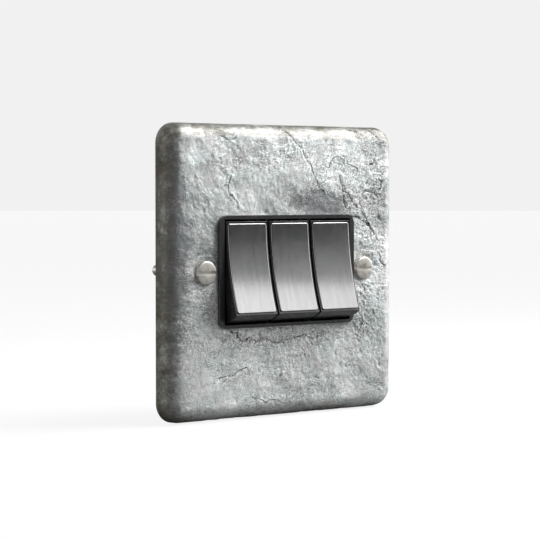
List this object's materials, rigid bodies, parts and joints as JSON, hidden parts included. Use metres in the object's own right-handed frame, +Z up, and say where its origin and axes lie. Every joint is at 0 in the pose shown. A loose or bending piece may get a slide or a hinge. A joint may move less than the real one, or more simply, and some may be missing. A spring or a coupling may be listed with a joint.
{
  "type": "rocker light switch on a metal wall plate",
  "caption": "Rocker light switch on a rolled-edge metal wall plate: concave metal-capped rockers in a black bezel, with see-saw contacts and screw terminals behind.",
  "frame": {"origin": "midway between the two wall fixings, on the wall's surface", "axes": "+X to the right along the fixings, +Z up the wall, +Y into the wall; the face looks along -Y"},
  "size_m": [0.087, 0.0313, 0.087],
  "materials": {
    "plate": "rough mottled pewter-like patina",
    "gasket": "matt foam rubber",
    "pillar": "turned",
    "strap": "zinc plated",
    "screw": "zinc plated",
    "fixing_screw": "satin nickel plate, turned face",
    "housing": "satin gloss black moulding",
    "base": "dark moulding",
    "retainer": "red fibre",
    "rocker": "satin gloss black moulding",
    "cap": "brushed along its length",
    "plunger": "natural nylon",
    "spring": "music wire",
    "bronze": "phosphor bronze strip",
    "silver": "silver contact",
    "terminal": "machined brass"
  },
  "bodies": {
    "switch": {"face_plate": "plate", "wall_gasket": "gasket", "plate_pillars": "pillar", "upper_strap": "strap", "lower_strap": "strap", "strap_screws": "screw", "front_housing": "housing", "rear_base": "base", "housing_screws": "screw", "fixing_screws": "fixing_screw", "screw_retainers": "retainer", "earth_bracket": "strap", "earth_terminal": "terminal", "earth_screw": "screw", "com_terminal_1": "terminal", "l1_terminal_1": "terminal", "l2_terminal_1": "terminal", "fixed_tips_1": "silver", "clamp_screws_1": "screw", "com_terminal_2": "terminal", "l1_terminal_2": "terminal", "l2_terminal_2": "terminal", "fixed_tips_2": "silver", "clamp_screws_2": "screw", "com_terminal_3": "terminal", "l1_terminal_3": "terminal", "l2_terminal_3": "terminal", "fixed_tips_3": "silver", "clamp_screws_3": "screw"},
    "rocker_1": {"rocker_body_1": "rocker", "rocker_cap_1": "cap", "plunger_spring_1": "spring"},
    "plunger_1": {"plunger_1": "plunger"},
    "contact_1": {"contact_arm_1": "bronze", "arm_tips_1": "silver"},
    "rocker_2": {"rocker_body_2": "rocker", "rocker_cap_2": "cap", "plunger_spring_2": "spring"},
    "plunger_2": {"plunger_2": "plunger"},
    "contact_2": {"contact_arm_2": "bronze", "arm_tips_2": "silver"},
    "rocker_3": {"rocker_body_3": "rocker", "rocker_cap_3": "cap", "plunger_spring_3": "spring"},
    "plunger_3": {"plunger_3": "plunger"},
    "contact_3": {"contact_arm_3": "bronze", "arm_tips_3": "silver"}
  },
  "joints": [
    {"name": "rocker_1_tilt", "type": "hinge", "parent": "switch", "child": "rocker_1", "pos_m": [-0.01595, -0.0041, 0], "axis": [1, 0, 0], "range_deg": [0, 21.2]},
    {"name": "plunger_1_slide", "type": "slide", "parent": "rocker_1", "child": "plunger_1", "axis": [0, 0.9829, -0.184], "range_m": [-0.0015, 0], "stiffness_N_per_m": 150, "springref_m": 0.002, "deforming": ["plunger_spring_1"]},
    {"name": "contact_1_rock", "type": "hinge", "parent": "switch", "child": "contact_1", "pos_m": [-0.01595, 0.0082, 0], "axis": [1, 0, 0], "range_deg": [-12, 0]},
    {"name": "rocker_2_tilt", "type": "hinge", "parent": "switch", "child": "rocker_2", "pos_m": [0, -0.0041, 0], "axis": [1, 0, 0], "range_deg": [0, 21.2]},
    {"name": "plunger_2_slide", "type": "slide", "parent": "rocker_2", "child": "plunger_2", "axis": [0, 0.9829, -0.184], "range_m": [-0.0015, 0], "stiffness_N_per_m": 150, "springref_m": 0.002, "deforming": ["plunger_spring_2"]},
    {"name": "contact_2_rock", "type": "hinge", "parent": "switch", "child": "contact_2", "pos_m": [0, 0.0082, 0], "axis": [1, 0, 0], "range_deg": [-12, 0]},
    {"name": "rocker_3_tilt", "type": "hinge", "parent": "switch", "child": "rocker_3", "pos_m": [0.01595, -0.0041, 0], "axis": [1, 0, 0], "range_deg": [0, 21.2]},
    {"name": "plunger_3_slide", "type": "slide", "parent": "rocker_3", "child": "plunger_3", "axis": [0, 0.9829, -0.184], "range_m": [-0.0015, 0], "stiffness_N_per_m": 150, "springref_m": 0.002, "deforming": ["plunger_spring_3"]},
    {"name": "contact_3_rock", "type": "hinge", "parent": "switch", "child": "contact_3", "pos_m": [0.01595, 0.0082, 0], "axis": [1, 0, 0], "range_deg": [-12, 0]}
  ],
  "couplings": [
    {"joint": "contact_1_rock", "follows": "rocker_1_tilt", "ratio": -0.566},
    {"joint": "contact_2_rock", "follows": "rocker_2_tilt", "ratio": -0.566},
    {"joint": "contact_3_rock", "follows": "rocker_3_tilt", "ratio": -0.566}
  ]
}
